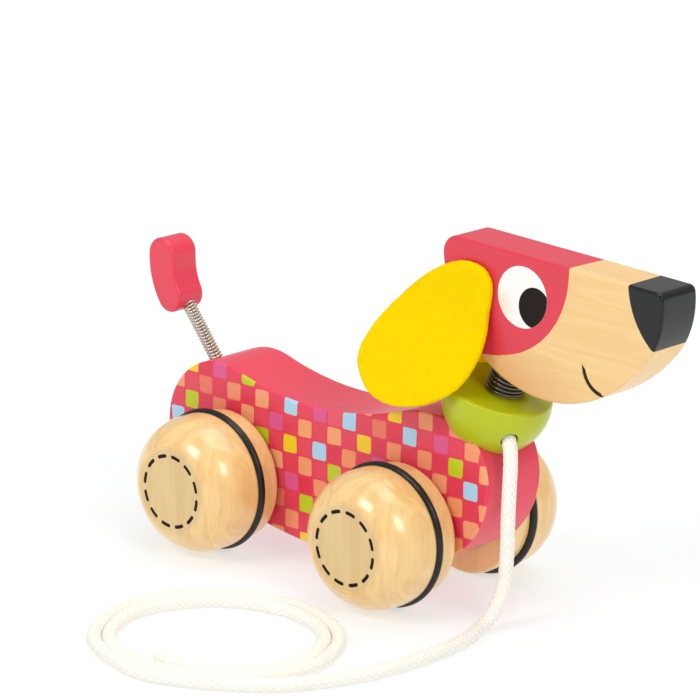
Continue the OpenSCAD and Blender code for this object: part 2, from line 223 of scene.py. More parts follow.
def smooth_path(points, step):
    """Smooth curve through the points, resampled at one point per step."""
    pts = [Vector(p) for p in points]
    full = [pts[0] * 2 - pts[1]] + pts + [pts[-1] * 2 - pts[-2]]
    parts = 24
    fine = [catmull(*full[i:i + 4], k / parts) for i in range(len(full) - 3) for k in range(parts)]
    fine.append(pts[-1])
    out, left = [fine[0]], step
    for a, b in zip(fine, fine[1:]):
        length = (b - a).length
        at = left
        while at <= length:
            out.append(a.lerp(b, at / length))
            at += step
        left = at - length
    out.append(fine[-1])
    return out


def closed_curve(points, steps):
    """Smooth closed curve through the points, with this many steps between two of them."""
    pts = [Vector(p) for p in points]
    n = len(pts)
    return [catmull(pts[i - 1], pts[i], pts[(i + 1) % n], pts[(i + 2) % n], k / steps)
            for i in range(n) for k in range(steps)]


# ---- Material helpers ----

class Num:
    """A number flowing through a material's nodes, so that masks read as arithmetic."""

    def __init__(self, tree, out):
        self.tree, self.out = tree, out

    def op(self, kind, *others, clamp=False):
        node = self.tree.nodes.new("ShaderNodeMath")
        node.operation, node.use_clamp = kind, clamp
        for i, v in enumerate((self,) + others):
            if isinstance(v, Num):
                self.tree.links.new(v.out, node.inputs[i])
            else:
                node.inputs[i].default_value = v
        return Num(self.tree, node.outputs[0])

    def __add__(self, o): return self.op("ADD", o)
    def __radd__(self, o): return self.op("ADD", o)
    def __sub__(self, o): return self.op("SUBTRACT", o)
    def __rsub__(self, o): return self.op("MULTIPLY_ADD", -1.0, o)
    def __mul__(self, o): return self.op("MULTIPLY", o)
    def __truediv__(self, o): return self.op("DIVIDE", o)
    def __abs__(self): return self.op("ABSOLUTE")
    def floor(self): return self.op("FLOOR")
    def sqrt(self): return self.op("SQRT")
    def sin(self): return self.op("SINE")
    def min(self, o): return self.op("MINIMUM", o)
    def max(self, o): return self.op("MAXIMUM", o)
    def mod(self, o): return self.op("FLOORED_MODULO", o)
    def below(self, o): return self.op("LESS_THAN", o)
    def clamp(self): return self.op("ADD", 0.0, clamp=True)


def hypot(x, z):
    """Distance from the origin, in a material."""
    return (x * x + z * z).sqrt()


def within(distance, soft):
    """1 where a signed distance in millimetres is below zero, with an edge as wide as soft."""
    return (0.5 - distance / soft).clamp()


class Material:
    """A Principled material with object coordinates in millimetres at hand."""

    def __init__(self, name, roughness, **inputs):
        self.m = bpy.data.materials.new(name)
        self.m.use_nodes = True
        self.tree = self.m.node_tree
        self.bsdf = self.tree.nodes["Principled BSDF"]
        self.set("Roughness", roughness)
        for key, value in inputs.items():
            self.set(key.replace("_", " "), value)
        coord = self.node("ShaderNodeTexCoord")
        self.uv = coord.outputs["UV"]
        scaled = self.node("ShaderNodeVectorMath", operation="SCALE")
        scaled.inputs["Scale"].default_value = 1 / MM
        self.link(coord.outputs["Object"], scaled.inputs[0])
        self.mm = scaled.outputs[0]
        self.x, self.y, self.z = self.split(self.mm)

    def node(self, kind, **props):
        n = self.tree.nodes.new(kind)
        for k, v in props.items():
            setattr(n, k, v)
        return n

    def link(self, a, b):
        self.tree.links.new(a.out if isinstance(a, Num) else a, b)

    def set(self, name, value):
        socket = self.bsdf.inputs[name]
        if isinstance(value, (Num, bpy.types.NodeSocket)):
            self.link(value, socket)
        else:
            socket.default_value = (*value, 1) if isinstance(value, tuple) else value

    def split(self, vector):
        s = self.node("ShaderNodeSeparateXYZ")
        self.link(vector, s.inputs[0])
        return [Num(self.tree, o) for o in s.outputs]

    def join(self, x, y, z):
        j = self.node("ShaderNodeCombineXYZ")
        for i, v in enumerate((x, y, z)):
            if isinstance(v, Num):
                self.link(v, j.inputs[i])
            else:
                j.inputs[i].default_value = v
        return j.outputs[0]

    def noise(self, size, detail=3.0, roughness=0.5, distortion=0.0, seed=0.0):
        """Noise from 0 to 1. size is its grain in millimetres, along each axis or along all."""
        size = size if isinstance(size, tuple) else (size,) * 3
        m = self.node("ShaderNodeMapping")
        m.inputs["Scale"].default_value = [1 / s for s in size]
        m.inputs["Location"].default_value = (seed, seed * 1.7, seed * 0.6)
        self.link(self.mm, m.inputs["Vector"])
        n = self.node("ShaderNodeTexNoise")
        n.inputs["Scale"].default_value = 1.0
        n.inputs["Detail"].default_value = detail
        n.inputs["Roughness"].default_value = roughness
        n.inputs["Distortion"].default_value = distortion
        self.link(m.outputs[0], n.inputs["Vector"])
        return Num(self.tree, n.outputs[0])

    def mix(self, fac, a, b):
        """Colour a, taken towards colour b by a share from 0 to 1."""
        n = self.node("ShaderNodeMix", data_type="RGBA")
        for socket, v in ((n.inputs[0], fac), (n.inputs[6], a), (n.inputs[7], b)):
            if isinstance(v, (Num, bpy.types.NodeSocket)):
                self.link(v, socket)
            else:
                socket.default_value = (*v, 1) if isinstance(v, tuple) else v
        return n.outputs[2]

    def ramp(self, value, *stops):
        """Colours at places along a 0 to 1 value."""
        n = self.node("ShaderNodeValToRGB")
        e = n.color_ramp.elements
        e[0].position, e[0].color = stops[0][0], (*stops[0][1], 1)
        e[1].position, e[1].color = stops[-1][0], (*stops[-1][1], 1)
        for at, c in stops[1:-1]:
            s = e.new(at)
            s.color = (*c, 1)
        self.link(value, n.inputs[0])
        return n.outputs[0]

    def bump(self, height, distance):
        """Relief from a height of 0 to 1 that stands for this many millimetres."""
        n = self.node("ShaderNodeBump")
        n.inputs["Strength"].default_value = 1.0
        n.inputs["Distance"].default_value = distance * MM
        self.link(height, n.inputs["Height"])
        self.link(n.outputs[0], self.bsdf.inputs["Normal"])


def srgb(r, g, b):
    """An 8-bit screen colour as linear light."""
    return tuple(c / 12.92 if c <= 0.04045 else ((c + 0.055) / 1.055) ** 2.4
                 for c in (r / 255, g / 255, b / 255))


def dimmed(colour, share):
    """The colour with this share of its light."""
    return tuple(c * share for c in colour)


def wood_grain(m, light, dark, along=(1, 0, 0), seed=0.0, strength=1.0):
    """Pale wood: growth bands, drawn-out streaks and short flecks that run along one axis.
    Gives the colour, the streaks and the flecks."""
    def stretch(fine, long):
        return tuple(long if a else fine for a in along)

    bands = m.noise(size=stretch(9, 70), detail=2, distortion=0.6, seed=seed)
    lines = (bands * 26.0).sin() * 0.5 + 0.5
    streaks = m.noise(size=stretch(1.1, 26), detail=4, roughness=0.6, seed=seed + 3)
    flecks = m.noise(size=stretch(0.35, 3.2), detail=2, seed=seed + 7)
    tone = (lines * 0.34 + streaks * 0.5 + bands * 0.42 - 0.12) * strength
    colour = m.mix(tone.clamp(), light, dark)
    fleck_mask = ((flecks - 0.64) * 9.0).clamp() * 0.28 * strength
    return m.mix(fleck_mask, colour, dimmed(dark, 0.72)), streaks, flecks


# ---- Materials ----

OFFSET = -24.297    # the middle of the wheelbase, along X
BODY_T, HEAD_T, TAIL_T = 28, 18, 12.6
HUB_OUT = 45.4      # from the toy's middle plane to a wheel's flat outer face


def paint(name, colour, roughness=0.36):
    """Sprayed paint on sanded wood: a little tone, grain showing faintly through, soft gloss."""
    m = Material(name, roughness, Coat_Weight=0.3, Coat_Roughness=0.08, Specular_IOR_Level=0.3)
    cloudy = m.noise(size=16, detail=3)
    fine = m.noise(size=(12, 1.3, 1.3), detail=4, roughness=0.6, seed=4)
    m.set("Base Color", m.mix((cloudy * 0.5 + fine * 0.25 - 0.1).clamp(),
                              tuple(min(1, c * 1.1) for c in colour), dimmed(colour, 0.86)))
    m.set("Roughness", fine * 0.16 + roughness - 0.08)
    m.bump(fine * 0.6 + m.noise(size=0.8, detail=1, seed=9) * 0.4, 0.035)
    return m


def body_print():
    """Check print on the body's sides: salmon and red squares with a few bright ones."""
    m = Material("body_print", 0.4, Coat_Weight=0.2, Coat_Roughness=0.18, Specular_IOR_Level=0.3)
    cell_long, cell_high = 6.92, 6.85
    # Columns count from the rump, and lean below a height. Rows count down from the top, and slope
    # up to the front.
    rear, top, slope, slope_from = OFFSET - 65.85, 58.3, math.tan(math.radians(1.7)), 62
    lean_below, lean = 43.0, 0.06
    x = m.x - rear - (lean_below - m.z).max(0.0) * lean
    z = top + (m.x - OFFSET + slope_from) * slope - m.z
    wobble = m.noise(size=11, detail=1, seed=2) - 0.5
    col_f = x / cell_long + wobble * 0.16
    row_f = z / cell_high - wobble * 0.14
    col, row = col_f.floor(), row_f.floor()
    parity = (col + row).mod(2.0)
    cell = m.join(col, row, 0.0)
    u, v = abs(col_f - col - 0.5), abs(row_f - row - 0.5)
    # Distance to a square with rounded corners, as a share of the cell
    corner, half = 0.13, 0.455
    du, dv = (u - (half - corner)).max(0.0), (v - (half - corner)).max(0.0)
    square = within(hypot(du, dv) - corner, 0.035)
    random_value = m.node("ShaderNodeTexWhiteNoise", noise_dimensions="2D")
    m.link(cell, random_value.inputs["Vector"])
    rnd = Num(m.tree, random_value.outputs["Value"])
    colour = m.ramp(rnd, (0.0, srgb(248, 154, 98)), (0.3, srgb(251, 172, 118)),
                    (0.6, srgb(246, 140, 104)), (0.85, srgb(252, 182, 130)),
                    (1.0, srgb(242, 124, 100)))
    reds = m.ramp(rnd, (0.0, srgb(232, 56, 84)), (0.35, srgb(236, 70, 94)),
                  (0.7, srgb(228, 48, 78)), (1.0, srgb(240, 92, 110)))
    sky, yellow, lime, pink = (srgb(172, 220, 246), srgb(252, 214, 32), srgb(196, 212, 22),
                               srgb(228, 90, 148))
    # The bright squares as (column, row)
    bright = (
        (sky, ((-1, 2), (7, 0), (9, 2), (11, 0), (15, 0), (19, 2), (13, 4), (3, 4))),
        (yellow, ((0, -1), (7, 2), (8, 7), (12, 1), (14, -1), (5, 6), (17, 4))),
        (lime, ((0, 1), (4, -1), (5, 2), (8, 5), (10, 3), (18, 1), (15, 6), (1, 6))),
        (pink, ((2, -1), (6, 1), (7, 4), (9, 0), (17, 0), (13, 2), (11, 6))),
    )
    for tint, cells in bright:
        hits = []
        for at in cells:
            gap = m.node("ShaderNodeVectorMath", operation="DISTANCE")
            m.link(cell, gap.inputs[0])
            gap.inputs[1].default_value = (*at, 0)
            hits.append(Num(m.tree, gap.outputs["Value"]).below(0.3))
        colour = m.mix(sum(hits[1:], hits[0]).clamp(), colour, tint)
    pad = m.mix(parity, reds, colour)
    tone = m.noise(size=(14, 1.2, 1.2), detail=4, roughness=0.6, seed=4)
    # The print stops at the board's edges, which are sprayed like its top
    side = within(BODY_T / 2 - 0.8 - abs(m.y), 0.15)
    inked = m.mix(square * side, m.mix(side, srgb(234, 68, 90), srgb(234, 62, 90)), pad)
    m.set("Base Color", m.mix((tone * 0.12).clamp(), inked, srgb(150, 20, 40)))
    m.set("Roughness", tone * 0.18 + 0.32)
    m.bump(square * side * 0.25 + tone * 0.75, 0.04)
    return m


def head_finish():
    """One varnished board with paint on it: red cap, eye, nose and mouth."""
    m = Material("head_finish", 0.3, Coat_Roughness=0.12)
    wood, streaks, flecks = wood_grain(m, srgb(244, 208, 146), srgb(224, 172, 104), seed=5,
                                       strength=0.55)
    # The painted marks' places and sizes on the board's side
    cap_at, cap_r, cap_skew = (71.0, 125.7), 32.9, -0.06
    nape_front, nape_low, nape_slope = 76.0, 91.8, 0.14     # the cap's back, down to the neck
    nose_at, nose_r = (156.3, 130.4), 28.85
    eye_at, eye_r = (84.2, 114.7), 10.45
    pupil_at, pupil_long, pupil_high, pupil_r = (89.5, 112.0), 6.7, 6.95, 6.8
    mouth_at, mouth_r, mouth_half = (120.0, 97.8), 9.1, 0.7
    mouth_way, mouth_span = math.radians(225.5), math.radians(39.5)
    x, z = m.x - OFFSET, m.z

    def circle(centre, radius):
        return hypot(x - centre[0], z - centre[1]) - radius

    ragged = (m.noise(size=1.5, detail=2, seed=1) - 0.5) * 0.25
    cap_edge = hypot(x + m.y * cap_skew - cap_at[0], z - cap_at[1]) - cap_r + ragged
    nape_edge = (x - nape_front).max(nape_low + (x - 67.5) * nape_slope - z)
    cap = within(cap_edge.min(nape_edge), 0.15)
    nose = within(circle(nose_at, nose_r), 0.12)
    eye = within(circle(eye_at, eye_r), 0.12)
    oval = hypot((x - pupil_at[0]) / pupil_long, (z - pupil_at[1]) / pupil_high)
    pupil = within((oval - 1.0) * pupil_r, 0.12) * eye
    reach = (x - mouth_at[0]) * math.cos(mouth_way) + (z - mouth_at[1]) * math.sin(mouth_way)
    mouth = (within(abs(circle(mouth_at, mouth_r)) - mouth_half, 0.25)
             * within(mouth_r * math.cos(mouth_span) - reach, 0.4))
    side = within(HEAD_T / 2 - 0.6 - abs(m.y), 0.2)
    cloudy = m.noise(size=14, detail=2)
    red = m.mix(cloudy * 0.4, srgb(222, 52, 74), srgb(206, 42, 62))
    # Painted shade: the wood on the underside by the neck is taken darker and oranger than the
    # muzzle
    painted_jaw_shade = (1.0 - hypot((x - 78.0) / 38.0, (z - 82.0) / 18.0)).clamp()
    wood = m.mix(painted_jaw_shade * 0.8, wood, srgb(216, 146, 82))
    # Painted shade on the eye's white, strongest at its lower back edge by the ear
    painted_eye_shade = (1.0 - hypot(x - 74.5, z - 110.0) / 7.0).clamp()
    white = m.mix(painted_eye_shade * 0.8, srgb(246, 244, 240), srgb(240, 206, 178))
    colour = m.mix(cap, wood, red)
    colour = m.mix(eye * side, colour, white)
    colour = m.mix(pupil * side, colour, srgb(24, 11, 6))
    colour = m.mix(mouth * side, colour, srgb(44, 26, 18))
    colour = m.mix(nose, colour, srgb(9, 9, 10))
    m.set("Base Color", colour)
    painted = cap.max(nose).max(eye * side)
    dark = (pupil * side).max(mouth * side)
    m.set("Roughness", 0.36 - nose * 0.1 + streaks * 0.1)
    m.set("Specular IOR Level", 0.4 - dark * 0.28 - nose * 0.14)
    m.set("Coat Weight", 0.25 - dark * 0.18 + nose * 0.05)
    m.set("Coat Roughness", 0.12 - nose * 0.07)
    m.bump(streaks * (1.0 - painted * 0.7) * 0.7 + flecks * 0.3 * (1.0 - painted * 0.8)
           + painted * 0.8, 0.05)
    return m


def wheel_finish():
    """Turned and varnished wood, with a ring of twelve dashes burnt into the flat hub face."""
    m = Material("wheel_finish", 0.22, Coat_Roughness=0.1, Coat_IOR=1.5)
    wood, streaks, flecks = wood_grain(m, srgb(250, 215, 148), srgb(216, 160, 88),
                                       along=(0, 0, 1), seed=11, strength=0.66)
    radius = hypot(m.x, m.z)
    # Fold the ring of dashes onto one dash centred on zero
    dashes, dash_r, dash_reach, dash_half = 12, 12.75, 1.55, 0.66
    face_r, line_r, line_half = 15.0, 15.6, 0.2
    angle = m.z.op("ARCTAN2", m.x)
    step = TAU / dashes
    turned = (angle - math.radians(20) + step / 2).mod(step) - step / 2
    along = (abs(turned) * dash_r - dash_reach).max(0.0)
    dash = (within(hypot(along, radius - dash_r) - dash_half, 0.16)
            * within(m.y + (HUB_OUT - 1.2), 0.2))
    face = within(radius - face_r, 0.6)
    line = within(abs(radius - line_r) - line_half, 0.6) * within(m.y + (HUB_OUT - 1.4), 0.5)
    colour = m.mix(line * 0.2, wood, srgb(190, 140, 80))
    saw = m.noise(size=(0.5, 0.5, 9), detail=2, seed=21)
    colour = m.mix(face * (saw * 0.5 - 0.1).clamp() * 0.5, colour, srgb(196, 150, 92))
    colour = m.mix(face * 0.35, colour, srgb(192, 176, 132))
    colour = m.mix(dash, colour, srgb(34, 20, 18))
    m.set("Base Color", colour)
    m.set("Roughness", 0.26 + dash * 0.3 + face * 0.12 + streaks * 0.06)
    m.set("Coat Weight", 0.75 - face * 0.3 - dash * 0.45)
    m.set("Specular IOR Level", 0.5 - dash * 0.35)
    m.bump(streaks * 0.25 + flecks * 0.15 + (1.0 - dash) * 0.6, 0.05)
    return m


def plain_wood():
    """Bare dowel wood, for the axles and pegs."""
    m = Material("plain_wood", 0.55)
    wood, streaks, flecks = wood_grain(m, srgb(236, 206, 154), srgb(204, 160, 102),
                                       along=(0, 1, 0), seed=17)
    m.set("Base Color", wood)
    m.bump(streaks * 0.7 + flecks * 0.3, 0.06)
    return m


def felt():
    """Pressed wool: matted fibres in two sizes, a soft bloom at grazing angles."""
    m = Material("yellow_felt", 0.95, Sheen_Weight=0.12, Sheen_Roughness=0.5,
                 Specular_IOR_Level=0.05)
    m.set("Sheen Tint", srgb(255, 226, 40))
    clumps = m.noise(size=2.6, detail=4, roughness=0.65)
    fibres = m.noise(size=0.28, detail=3, roughness=0.7, distortion=1.5, seed=5)
    tone = m.ramp(clumps * 0.5 + fibres * 0.5, (0.2, srgb(240, 196, 0)), (0.5, srgb(255, 216, 0)),
                  (0.8, srgb(255, 226, 0)))
    m.set("Base Color", tone)
    m.bump(clumps * 0.3 + fibres * 0.7, 0.3)
    return m


def steel(name, colour, roughness):
    """Drawn spring wire: fine scratches, and smears of oil that darken it."""
    m = Material(name, roughness, Metallic=1.0)
    marks = m.noise(size=0.25, detail=3, roughness=0.7)
    smear = m.noise(size=2.2, detail=2, seed=3)
    m.set("Base Color", m.mix(smear, colour, dimmed(colour, 0.62)))
    m.set("Roughness", marks * 0.22 + (roughness - 0.1))
    m.bump(marks, 0.02)
    return m


def rubber():
    """Moulded rubber: near black, soft sheen, dust in the faint ripple."""
    m = Material("tyre_rubber", 0.42, Specular_IOR_Level=0.45)
    dust = m.noise(size=1.6, detail=4, roughness=0.7)
    ripple = m.noise(size=0.4, detail=2, seed=6)
    m.set("Base Color", m.ramp(dust, (0.35, srgb(11, 8, 9)), (0.62, srgb(16, 12, 13)),
                               (0.8, srgb(38, 33, 32))))
    m.set("Roughness", dust * 0.26 + 0.18)
    m.bump(ripple, 0.05)
    return m


BRAID = 4           # half of the strands that run each way round the cord
BRAID_TURN = 1.15   # radians of pattern per millimetre of cord


def cotton():
    """Braided cotton: painted shade in the hollows between strands, and fibres along each strand.
    """
    m = Material("cotton_cord", 0.9, Sheen_Weight=0.35, Sheen_Roughness=0.5)
    u, v, _ = m.split(m.uv)
    run = v / MM
    left = (u * (TAU * BRAID) + run * BRAID_TURN).sin()
    right = (u * (TAU * BRAID) - run * BRAID_TURN).sin()
    fibre = m.noise(size=0.22, detail=3, roughness=0.7)
    lint = m.noise(size=1.4, detail=2, seed=8)
    crown = abs(left * right)
    # Painted shade: the cord is darker where the strands dip into the hollows between them
    tone = m.ramp(crown * 0.55 + fibre * 0.3 + lint * 0.25, (0.1, srgb(240, 233, 214)),
                  (0.45, srgb(252, 248, 238)), (0.85, srgb(255, 254, 248)))
    m.set("Base Color", tone)
    m.bump(crown * 0.5 + fibre * 0.5, 0.25)
    return m


mat_red = paint("red_paint", srgb(226, 62, 84))
mat_lime = paint("lime_paint", srgb(178, 188, 6), 0.34)
mat_print = body_print()
mat_head = head_finish()
mat_wheel = wheel_finish()
mat_plain = plain_wood()
mat_felt = felt()
mat_neck = steel("neck_steel", srgb(120, 118, 114), 0.28)
mat_tail = steel("tail_steel", srgb(228, 219, 204), 0.2)
mat_rubber = rubber()
mat_cotton = cotton()

# ---- Cord: one cotton braid from the knot in the collar to its bare end in the coil ----

CORD_D = 5.0
ROUTE = [
    (46.0, -1.4, 68.0), (48.4, -3.1, 67.3), (50.8, -4.7, 66.5), (53.0, -6.2, 65.8),
    (54.7, -7.3, 64.9), (56.1, -8.2, 63.4), (57.1, -8.8, 61.2), (57.7, -9.2, 58.2),
    (58.0, -9.5, 54.0), (58.1, -9.8, 47.0), (58.2, -10.0, 39.0), (58.3, -10.0, 30.0),
    (58.3, -10.1, 22.0), (58.2, -10.6, 16.0), (58.0, -12.2, 10.6), (57.9, -15.2, 6.2),
    (58.1, -19.2, 3.6), (58.9, -23.5, 2.6), (60.6, -28.5, 2.5), (62.6, -36.0, 2.5),
    (63.6, -45.0, 2.5), (63.5, -56.0, 2.5), (62.8, -67.0, 2.5), (61.2, -78.0, 2.5),
    (58.3, -87.0, 2.5), (55.0, -95.0, 2.5), (51.0, -103.0, 2.5), (45.3, -110.7, 2.5),
    (38.0, -117.2, 2.5),
]
LYING = CORD_D / 2      # height of the cord's middle line where it lies on the floor
COIL_X, COIL_Y = 4.5, -92.0
# Coil turns as (degrees round from +X, radius), wound clockwise from the outside in
TURNS = [
    (-60, 39.8), (-90, 40.4), (-135, 41.4), (-180, 42.0), (-225, 41.0), (-270, 39.8), (-315, 39.7),
    (-360, 39.4), (-405, 36.2), (-450, 35.3), (-495, 36.3), (-540, 36.9), (-585, 35.9),
    (-630, 34.7), (-675, 34.6), (-720, 34.2), (-765, 31.0), (-790, 29.4), (-812, 27.2),
]
coil = [(COIL_X + r * math.cos(math.radians(a)), COIL_Y + r * math.sin(math.radians(a)), LYING)
        for a, r in TURNS]
cord_path = smooth_path(ROUTE + coil, 0.7)
cord_length = sum((b - a).length for a, b in zip(cord_path, cord_path[1:]))


def braid(run, angle):
    """Radius of the braided cord as a share of the whole: full on the strands' crowns."""
    left = math.sin(BRAID * angle + run * BRAID_TURN)
    right = math.sin(BRAID * angle - run * BRAID_TURN)
    return 0.94 + 0.06 * abs(left * right) ** 0.6


cord = tube("cotton_cord", cord_path, CORD_D / 2, sides=32, material=mat_cotton, bulge=braid)
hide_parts("pull_cord", "pull_cord_coil")
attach(cord, "root")
[p * MM for p in cord_path]

# ---- Body board ----

RUMP, RUMP_R = (-48.5, 38.8), 25.7
SHOULDER, HUMP, HUMP_R = (46.5, 46.7), (55.0, 47.0), 21.4
CHEST, CHEST_R = (44.4, 47.0), 32.0
BELLY, BELLY_R, CORNER_R, SADDLE_R = (1.0, 158.0), 150.0, 8.0, 124.0
saddle = meet(RUMP, RUMP_R + SADDLE_R, SHOULDER, HUMP_R + SADDLE_R)
chest_corner = meet(BELLY, BELLY_R - CORNER_R, CHEST, CHEST_R - CORNER_R)
rump_corner = meet(RUMP, RUMP_R - CORNER_R, BELLY, BELLY_R - CORNER_R)
top = heading(SHOULDER, HUMP) + math.pi / 2
body_outline = (
    arc(BELLY, BELLY_R, heading(BELLY, rump_corner), heading(BELLY, chest_corner))
    + arc(chest_corner, CORNER_R, heading(BELLY, chest_corner), heading(CHEST, chest_corner))
    + arc(CHEST, CHEST_R, heading(CHEST, chest_corner), 0)
    + arc(HUMP, HUMP_R, 0, top)
    + arc(SHOULDER, HUMP_R, top, heading(SHOULDER, saddle))
    + arc(saddle, SADDLE_R, heading(saddle, SHOULDER), heading(saddle, RUMP), left=False)
    + arc(RUMP, RUMP_R, heading(RUMP, saddle), heading(RUMP, rump_corner))
    + arc(rump_corner, CORNER_R, heading(RUMP, rump_corner), heading(BELLY, rump_corner)))


def shifted(points):
    return [p + Vector((OFFSET, 0)) for p in points]


body = board("body_board", shifted(body_outline), BODY_T, ease=1.0, material=mat_print)
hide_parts("body_block")
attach(body, "root")

# ---- Head ----

# A half disc whose flat top rises above the disc's centre and falls towards the nose
HEAD, HEAD_R, FALL, RISE = Vector((95.3, 128)), 46.4, math.radians(1.7), 0.6
MUZZLE_FROM, MUZZLE_R, NOSE_R, NOSE_FRONT = math.radians(60), 60, 30, 141.8
NOSE_CORNER_R, SKULL_CORNER_R = 2.6, 6


def below(angle):
    """Direction this far below the way forwards."""
    return Vector((math.cos(angle), -math.sin(angle)))


def head_corner(c, arc_r, r, end):
    """Centre of the small arc between the flat top and a big arc, at the front (1) or back (-1)."""
    up = Vector((math.sin(FALL), math.cos(FALL)))
    drop = up.dot(HEAD - c) + RISE - r
    return c + drop * up + end * math.sqrt((arc_r - r) ** 2 - drop * drop) * Vector((up.y, -up.x))


muzzle_c = HEAD + (HEAD_R - MUZZLE_R) * below(MUZZLE_FROM)
nose_from = math.acos((NOSE_FRONT - NOSE_R - muzzle_c.x) / (MUZZLE_R - NOSE_R))
front_c = muzzle_c + (MUZZLE_R - NOSE_R) * below(nose_from)
nose_c = head_corner(front_c, NOSE_R, NOSE_CORNER_R, 1)
skull_c = head_corner(HEAD, HEAD_R, SKULL_CORNER_R, -1)
up = math.pi / 2 - FALL
head_outline = (
    arc(HEAD, HEAD_R, heading(HEAD, skull_c), -MUZZLE_FROM)
    + arc(muzzle_c, MUZZLE_R, -MUZZLE_FROM, -nose_from)
    + arc(front_c, NOSE_R, -nose_from, heading(front_c, nose_c))
    + arc(nose_c, NOSE_CORNER_R, heading(front_c, nose_c), up, step=8)
    + arc(skull_c, SKULL_CORNER_R, up, heading(HEAD, skull_c), step=5))
head = board("head_board", shifted(head_outline), HEAD_T, ease=1.0, material=mat_head)
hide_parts("head_block")
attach(head, "head")

# ---- Tail block ----

TIP, TIP_R, FOOT, FOOT_R = (-86.9, 95.0), 6.3, (-82.8, 80.3), 5.8
BOW_R, WAIST_R = 30, 22
bow = meet(TIP, BOW_R - TIP_R, FOOT, BOW_R - FOOT_R)
waist = meet(TIP, WAIST_R + TIP_R, FOOT, WAIST_R + FOOT_R)
tail_outline = (
    arc(TIP, TIP_R, heading(TIP, waist), heading(bow, TIP), step=6)
    + arc(bow, BOW_R, heading(bow, TIP), heading(bow, FOOT))
    + arc(FOOT, FOOT_R, heading(bow, FOOT), heading(FOOT, waist), step=6)
    + arc(waist, WAIST_R, heading(waist, FOOT), heading(waist, TIP), left=False))
tail = board("tail_bean", shifted(tail_outline), TAIL_T, ease=1.3, material=mat_red, steps=6)
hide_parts("tail_block")
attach(tail, "tail")

# ---- Collar ----

# The neck spring bends along an arc, from the collar's lean to the lean of the peg in the head
LEAN_LOW, LEAN_TOP, NECK_LENGTH = math.radians(15), math.radians(27), 9.5
NECK_R = NECK_LENGTH / (LEAN_TOP - LEAN_LOW)


def leaning(a):
    """Direction in the toy's middle plane that leans forwards by an angle."""
    return Vector((math.sin(a), 0, math.cos(a)))


def neck_bend(a):
    """Way from the neck's foot to where its middle line leans by an angle."""
    return NECK_R * Vector((math.cos(LEAN_LOW) - math.cos(a), 0, math.sin(a) - math.sin(LEAN_LOW)))


def neck_axis(t):
    """Point on the neck's middle line at a share t of its length, and its direction there."""
    a = LEAN_LOW + (LEAN_TOP - LEAN_LOW) * t
    return neck_foot + neck_bend(a), leaning(a)


neck_top = Vector((HEAD.x + OFFSET, 0, HEAD.y)) - HEAD_R * leaning(LEAN_TOP)
neck_foot = neck_top - neck_bend(LEAN_TOP)
# A bowl whose flat top is above its centre, with an eased rim. The neck stands off its middle.
COLLAR_R, FLAT, RIM, NECK_OFFSET = 18.8, 4.0, 1.2, 2.3
collar_c = (neck_foot - FLAT * leaning(LEAN_LOW)
            - NECK_OFFSET * Vector((math.cos(LEAN_LOW), 0, -math.sin(LEAN_LOW))))
rim_c = Vector((math.sqrt((COLLAR_R - RIM) ** 2 - (FLAT - RIM) ** 2), FLAT - RIM))
rim_a = math.atan2(rim_c.y, rim_c.x)
bowl_angles = [math.radians(a) for a in range(-90, 1, 3) if math.radians(a) < rim_a]
rim_angles = [rim_a + (math.pi / 2 - rim_a) * i / 5 for i in range(6)]
collar_profile = (
    [(0, -COLLAR_R)]
    + [(COLLAR_R * math.cos(a), COLLAR_R * math.sin(a)) for a in bowl_angles[1:]]
    + [(rim_c.x + RIM * math.cos(a), rim_c.y + RIM * math.sin(a)) for a in rim_angles]
    + [(12.0, FLAT), (6.0, FLAT), (0, FLAT)])
collar = lathe("collar_bowl", collar_profile, mat_lime, segments=160)


def standing(place, way):
    """Takes a lathe's +Y to a direction, and its origin to a place in millimetres."""
    return (Matrix.Translation(place * MM) @ way.to_track_quat("Z", "X").to_matrix().to_4x4()
            @ Matrix.Rotation(math.pi / 2, 4, "X"))


def drill(ob, name, profile, place, way):
    """Cuts a turned shape out of an object, and leaves no cutter behind."""
    cutter = lathe(name, profile, mat_lime, segments=64)
    cutter.data.transform(standing(place, way))
    cutter.modifiers.clear()
    cut = ob.modifiers.new(name, "BOOLEAN")
    cut.operation, cut.object, cut.solver = "DIFFERENCE", cutter, "EXACT"
    bpy.context.view_layer.update()
    graph = bpy.context.evaluated_depsgraph_get()
    done = bpy.data.meshes.new_from_object(ob.evaluated_get(graph))
    ob.modifiers.remove(cut)
    ob.data = done
    bpy.data.objects.remove(cutter)


collar.data.transform(standing(collar_c, leaning(LEAN_LOW)))
collar.modifiers.clear()
# Both holes are drawn along their own axes: the neck peg's, and the cord's, which has a wider mouth
PEG_HOLE_R, PEG_HOLE_LOW, PEG_LEAD_R, ABOVE = 5.05, -8, 5.5, 2
drill(collar, "peg_hole",
      [(0, PEG_HOLE_LOW), (PEG_HOLE_R, PEG_HOLE_LOW), (PEG_HOLE_R, -0.5), (PEG_LEAD_R, 0.2),
       (PEG_LEAD_R, ABOVE), (0, ABOVE)],
      neck_foot, leaning(LEAN_LOW))
BORE_FROM, BORE_TO = Vector((44.1, 0, 68.6)), Vector((56.0, -8.3, 64.7))
BORE_R, MOUTH_R, MOUTH_REACH, BORE_START = 2.65, 3.3, 3, 6
bore = BORE_TO - BORE_FROM
drill(collar, "cord_hole",
      [(0, BORE_START), (BORE_R, BORE_START), (BORE_R, bore.length - MOUTH_REACH),
       (MOUTH_R, bore.length + MOUTH_REACH), (0, bore.length + MOUTH_REACH)],
      BORE_FROM, bore.normalized())
weighted(collar)
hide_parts("collar")
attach(collar, "root")

# ---- Wheels and tyres ----

AXLE_X, AXLE_Z = 41.3, 25.5
TYRE_AT, RING_R, RING = 24.7, 24.1, 1.4     # the tyre's place along the axle, and its two radii
HUB_IN, BACK_R, WHEEL_R, SHOULDER_AT = 15.2, 23.5, 24.4, 31.5
FACE_R, FACE_EDGE = 15.2, 2.5


